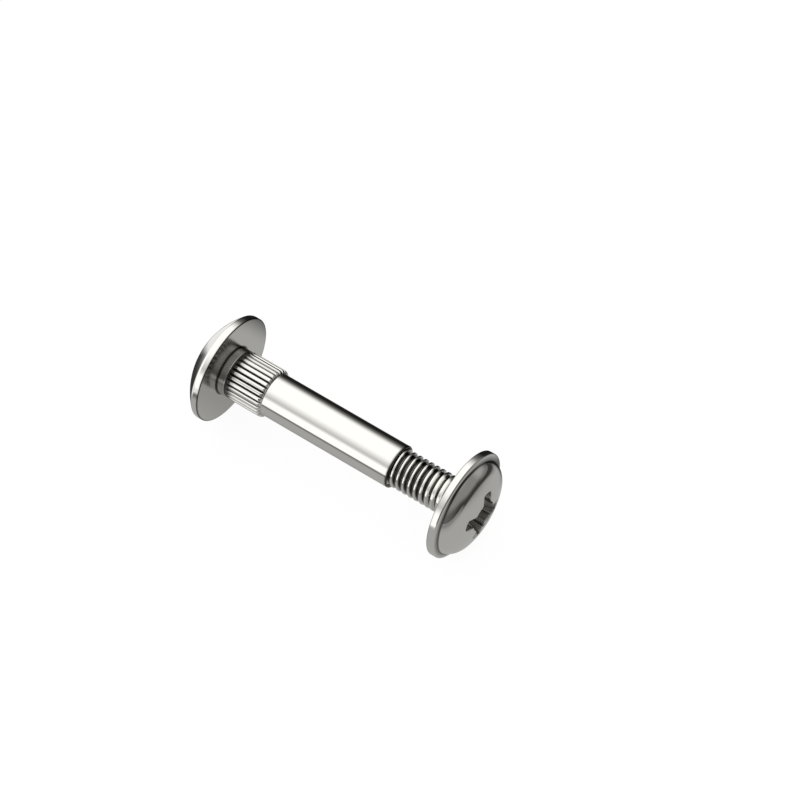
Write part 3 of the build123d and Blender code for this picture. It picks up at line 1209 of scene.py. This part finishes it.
@dataclass(frozen=True)
class Surroundings:
    """What the plating mirrors: white panels to the left and overhead, a dim room behind and to the right.

    x runs along the bolt, y to the back and z up. A pair is a fade, from where it is 0 to where it is full,
    and its name says what it runs along. The fades of the sky are parts of a direction's unit vector, or
    radians where they are angles, and those of the floor are metres. A light is a strength, and a dimming is
    the share of the light that is taken away.
    """

    # the lights that most of the plating mirrors
    panel: float = 1.3
    room: float = 0.05
    wall: float = 0.26
    paper: float = 0.44
    # sky: the room
    room_front_y: Pair = (-0.2, -0.95)
    room_front_light: float = 0.13
    wall_z: Pair = (0.22, 0.66)
    wall_lift_y: Pair = (-0.3, 0.2)
    wall_lift: float = 0.2
    corner_x: Pair = (-0.1, 0.3)
    corner_y: Pair = (0.5, 0.8)
    corner_light: float = 0.14
    # sky: the panels and the dimmer strip between them
    overhead_z_less_x: Pair = (0.6, 1.08)
    left_panel_x: Pair = (-0.15, -0.33)
    left_panel_y: Pair = (0.2, -0.2)
    strip_from_angle: Pair = (0.25, 0.62)
    strip_to_angle: Pair = (1.3, 0.5)
    strip_x: Pair = (-0.6, -0.4)
    strip_dimming: float = 0.62
    # floor: off to the right of the end of the bolt
    bolt_end: float = 0.024
    right_x: Pair = (0.01, 0.03)
    front_to_back_y: Pair = (-0.02, 0.01)
    front_distance: Pair = (0.018, 0.09)
    front_light: float = 0.26
    back_distance: Pair = (0.02, 0.062)
    # floor: the dark edge in front of the bolt and the dimmer strip under it, each as middle and half width
    beside_x: Pair = (0.01, 0.0)
    edge_y: Pair = (-0.029, 0.01)
    edge_dimming: float = 0.6
    under_y: Pair = (0.0, 0.008)
    under_dimming: float = 0.25
    # floor: the panels' light in front, which comes up sharply on the left and softly on the right
    glow_x: Pair = (0.03, 0.01)
    sharp_to_soft_x: Pair = (-0.015, 0.004)
    sharp_glow_y: Pair = (-0.035, -0.048)
    soft_glow_y: Pair = (-0.04, -0.13)
    # floor: left of the barrel's head, a dark patch at its back, then light, then a dark streak in the light
    patch_x: Pair = (-0.023, -0.0255)
    patch_y: Pair = (-0.006, -0.001)
    patch_light: float = 0.08
    left_x: Pair = (-0.031, -0.037)
    left_light: float = 0.95
    far_left_x: Pair = (-0.07, -0.15)
    far_left_y: Pair = (-0.05, -0.1)
    streak_middle_y: float = -0.0005
    streak_off: Pair = (0.01, 0.004)
    streak_far_x: Pair = (-0.105, -0.035)
    streak_near_x: Pair = (-0.023, -0.027)
    streak_light: float = 0.04
    # floor: the dark room behind the bolt, whose edge slopes back to the left of the head
    behind_y: Pair = (0.011, 0.017)
    behind_slope: float = 0.6
    behind_x: Pair = (0.028, 0.021)
    behind_light: float = 0.015

    def sky(self, wiring: Wiring, direction: bpy.types.NodeSocket) -> bpy.types.NodeSocket:
        """Strength of the light from a direction above the floor.

        Formula: the panel overhead shows where z - x is large, and the one on the left where x is well under
        0 and y isn't at the back. Elsewhere the room brightens with z, sooner at the back, and has a little
        more light at the back on the right. The strip is darkest about 33 degrees up from the front.

        Args:
            wiring: the tree's wiring.
            direction: unit vector of the direction.

        Returns:
            The strength.
        """
        x, y, z = wiring.split(direction)
        lift = wiring.product(wiring.fade(y, self.wall_lift_y), self.wall_lift)
        room = wiring.blend(wiring.fade(y, self.room_front_y), self.room, self.room_front_light)
        wall = wiring.blend(wiring.fade(wiring.sum("ADD", z, lift), self.wall_z), room, self.wall)
        corner = wiring.product(wiring.fade(y, self.corner_y), wiring.fade(x, self.corner_x))
        wall = wiring.sum("ADD", wall, wiring.product(corner, self.corner_light))
        overhead = wiring.fade(wiring.sum("SUBTRACT", z, x), self.overhead_z_less_x)
        on_left = wiring.product(wiring.fade(x, self.left_panel_x), wiring.fade(y, self.left_panel_y))
        panels = wiring.sum("MAXIMUM", overhead, on_left)
        angle = wiring.sum("ARCTAN2", z, wiring.product(y, -1.0))
        ends = wiring.fade(angle, self.strip_from_angle), wiring.fade(angle, self.strip_to_angle)
        strip = wiring.product(wiring.sum("MINIMUM", *ends), wiring.fade(x, self.strip_x))
        left_over = wiring.sum("SUBTRACT", 1.0, wiring.product(strip, self.strip_dimming))
        return wiring.blend(wiring.product(panels, left_over), wall, self.panel)

    def floor(self, wiring: Wiring, place: bpy.types.NodeSocket) -> bpy.types.NodeSocket:
        """Strength of the light from a place on the floor.

        Formula: each step lays its light over what the steps before it left, by the product of its fades. In
        order, they are plain paper that dims with the distance from the bolt's end on the right, the dark
        edge and the strip under the bolt, the glow in front, the patch, the light and the streak on the
        left, and the dark room behind.

        Args:
            wiring: the tree's wiring.
            place: the place, in metres.

        Returns:
            The strength.
        """
        x, y, _ = wiring.split(place)
        along = wiring.sum("SUBTRACT", x, self.bolt_end)
        away = wiring.sum("SQRT", wiring.sum("ADD", *(wiring.product(side, side) for side in (along, y))))
        front = wiring.blend(wiring.fade(away, self.front_distance), self.paper, self.front_light)
        back = wiring.blend(wiring.fade(away, self.back_distance), self.paper, self.room)
        right = wiring.blend(wiring.fade(y, self.front_to_back_y), front, back)
        light = wiring.blend(wiring.fade(x, self.right_x), self.paper, right)

        bands = ((self.edge_y, self.edge_dimming), (self.under_y, self.under_dimming))
        beside = wiring.fade(x, self.beside_x)
        for (middle, half_width), dimming in bands:
            dimmed = wiring.product(wiring.band(y, middle, half_width), dimming, beside)
            light = wiring.product(light, wiring.sum("SUBTRACT", 1.0, dimmed))

        glows = wiring.fade(y, self.sharp_glow_y), wiring.fade(y, self.soft_glow_y)
        glow = wiring.blend(wiring.fade(x, self.sharp_to_soft_x), *glows)
        light = wiring.blend(wiring.product(glow, wiring.fade(x, self.glow_x)), light, self.panel)

        patch = wiring.product(wiring.fade(x, self.patch_x), wiring.fade(y, self.patch_y))
        light = wiring.blend(patch, light, self.patch_light)
        far_left = wiring.sum("MAXIMUM", wiring.fade(y, self.far_left_y), wiring.fade(x, self.far_left_x))
        left = wiring.blend(far_left, self.left_light, self.panel)
        light = wiring.blend(wiring.fade(x, self.left_x), light, left)
        off = wiring.sum("ABSOLUTE", wiring.sum("ADD", y, -self.streak_middle_y))
        ends = wiring.fade(x, self.streak_far_x), wiring.fade(x, self.streak_near_x)
        streak = wiring.product(wiring.fade(off, self.streak_off), *ends)
        light = wiring.blend(streak, light, self.streak_light)

        left_of_head = wiring.sum("MINIMUM", wiring.sum("ADD", x, self.bolt_end), 0.0)
        behind = wiring.fade(wiring.weighed([y, left_of_head], [1.0, self.behind_slope]), self.behind_y)
        behind = wiring.product(behind, wiring.fade(x, self.behind_x))
        return wiring.blend(behind, light, self.behind_light)


@dataclass(frozen=True)
class Studio:
    """Pale floor, soft light and the camera.

    Args:
        middle: middle of the object's box.
        surroundings: what the plating mirrors.
    """

    middle: Vector
    surroundings: Surroundings = Surroundings()
    # camera, in metres but for the sensor and the lens
    azimuth: float = math.radians(35.3)
    elevation: float = math.radians(54.16)
    distance: float = 0.5932
    nearest: float = 0.01
    sensor: float = 36.0
    lens: float = 184.9
    aim_right: float = 0.00821
    aim_up: float = 0.0050
    # floor: its glow, and how much of the glow the camera sees in place of the paper
    floor_half_width: float = 1.5
    floor_glow: float = 1.05
    floor_glow_share: float = 0.88
    floor_paper: tuple[float, float, float] = (0.8, 0.8, 0.79)

    def camera(self) -> bpy.types.Object:
        """Looks down on the bolt from the screw's side, a little off the middle of the object.

        Returns:
            The camera.
        """
        a, e = self.azimuth, self.elevation
        right = Vector((math.cos(a), math.sin(a), 0.0))
        up = Vector((-math.sin(a) * math.sin(e), math.cos(a) * math.sin(e), math.cos(e)))
        back = right.cross(up)
        target = self.middle + right * self.aim_right + up * self.aim_up
        data = bpy.data.cameras.new("camera")
        data.sensor_width = self.sensor
        data.lens = self.lens
        data.clip_start = self.nearest
        camera = bpy.data.objects.new("camera", data)
        turn = Matrix((right, up, back)).transposed().to_4x4()
        camera.matrix_world = Matrix.Translation(target + back * self.distance) @ turn
        bpy.context.scene.collection.objects.link(camera)
        bpy.context.scene.camera = camera
        return camera

    def floor(self) -> bpy.types.Object:
        """White floor under the bolt, which keeps a faint shadow and is mirrored in shades of grey.

        Returns:
            The floor, which isn't part of the object.
        """
        half = self.floor_half_width
        corners = [(-half, -half, 0.0), (half, -half, 0.0), (half, half, 0.0), (-half, half, 0.0)]
        mesh = bpy.data.meshes.new("floor")
        mesh.from_pydata(corners, [], [(0, 1, 2, 3)])
        floor = bpy.data.objects.new("floor", mesh)
        bpy.context.scene.collection.objects.link(floor)
        material = bpy.data.materials.new("floor")
        material.use_nodes = True
        material.node_tree.nodes.clear()
        wiring = Wiring(material.node_tree)
        rays = wiring.node("LightPath", {})
        glossy, direct = rays.outputs["Is Glossy Ray"], rays.outputs["Is Camera Ray"]
        place = wiring.node("TexCoord", {}).outputs["Object"]
        strength = wiring.blend(glossy, self.floor_glow, self.surroundings.floor(wiring, place))
        glow = wiring.node("Emission", {"Strength": strength}).outputs["Emission"]
        paper = wiring.node("BsdfDiffuse", {"Color": (*self.floor_paper, 1.0)}).outputs["BSDF"]
        share = wiring.weighed([direct, glossy], [self.floor_glow_share, 1.0])
        seen = wiring.node("MixShader", {"Fac": share, 1: paper, 2: glow}).outputs["Shader"]
        wiring.node("OutputMaterial", {"Surface": seen})
        mesh.materials.append(material)
        return floor

    def sky(self) -> bpy.types.World:
        """Plain light from all round, mirrored as panels and a dim room.

        Returns:
            The world.
        """
        world = bpy.data.worlds.new("studio")
        world.use_nodes = True
        bpy.context.scene.world = world
        wiring = Wiring(world.node_tree)
        glossy = wiring.node("LightPath", {}).outputs["Is Glossy Ray"]
        place = wiring.node("TexCoord", {}).outputs["Generated"]
        background = world.node_tree.nodes["Background"]
        background.inputs["Color"].default_value = (1.0, 1.0, 1.0, 1.0)
        mirrored = self.surroundings.sky(wiring, place)
        wiring.put(background.inputs["Strength"], wiring.blend(glossy, 1.0, mirrored))
        return world

    def build(self) -> None:
        """Sets the studio up round the bolt."""
        self.floor()
        self.sky()
        self.camera()


def main() -> None:
    """Builds the two pieces and the studio, in order."""
    logging.basicConfig(level=logging.INFO, format="%(name)s: %(message)s")
    bpy.context.scene.view_settings.view_transform = "Standard"
    line = BoltLine.from_record(frame["record"])
    for maker in (Barrel(line), Screw(line)):
        piece = maker.build()
        log.info("%s: %d points, %d faces", piece.name, len(piece.data.vertices), len(piece.data.polygons))
    Studio((CAD_BOX[0] + CAD_BOX[1]) / 2.0).build()


if __name__ == "__main__":
    main()
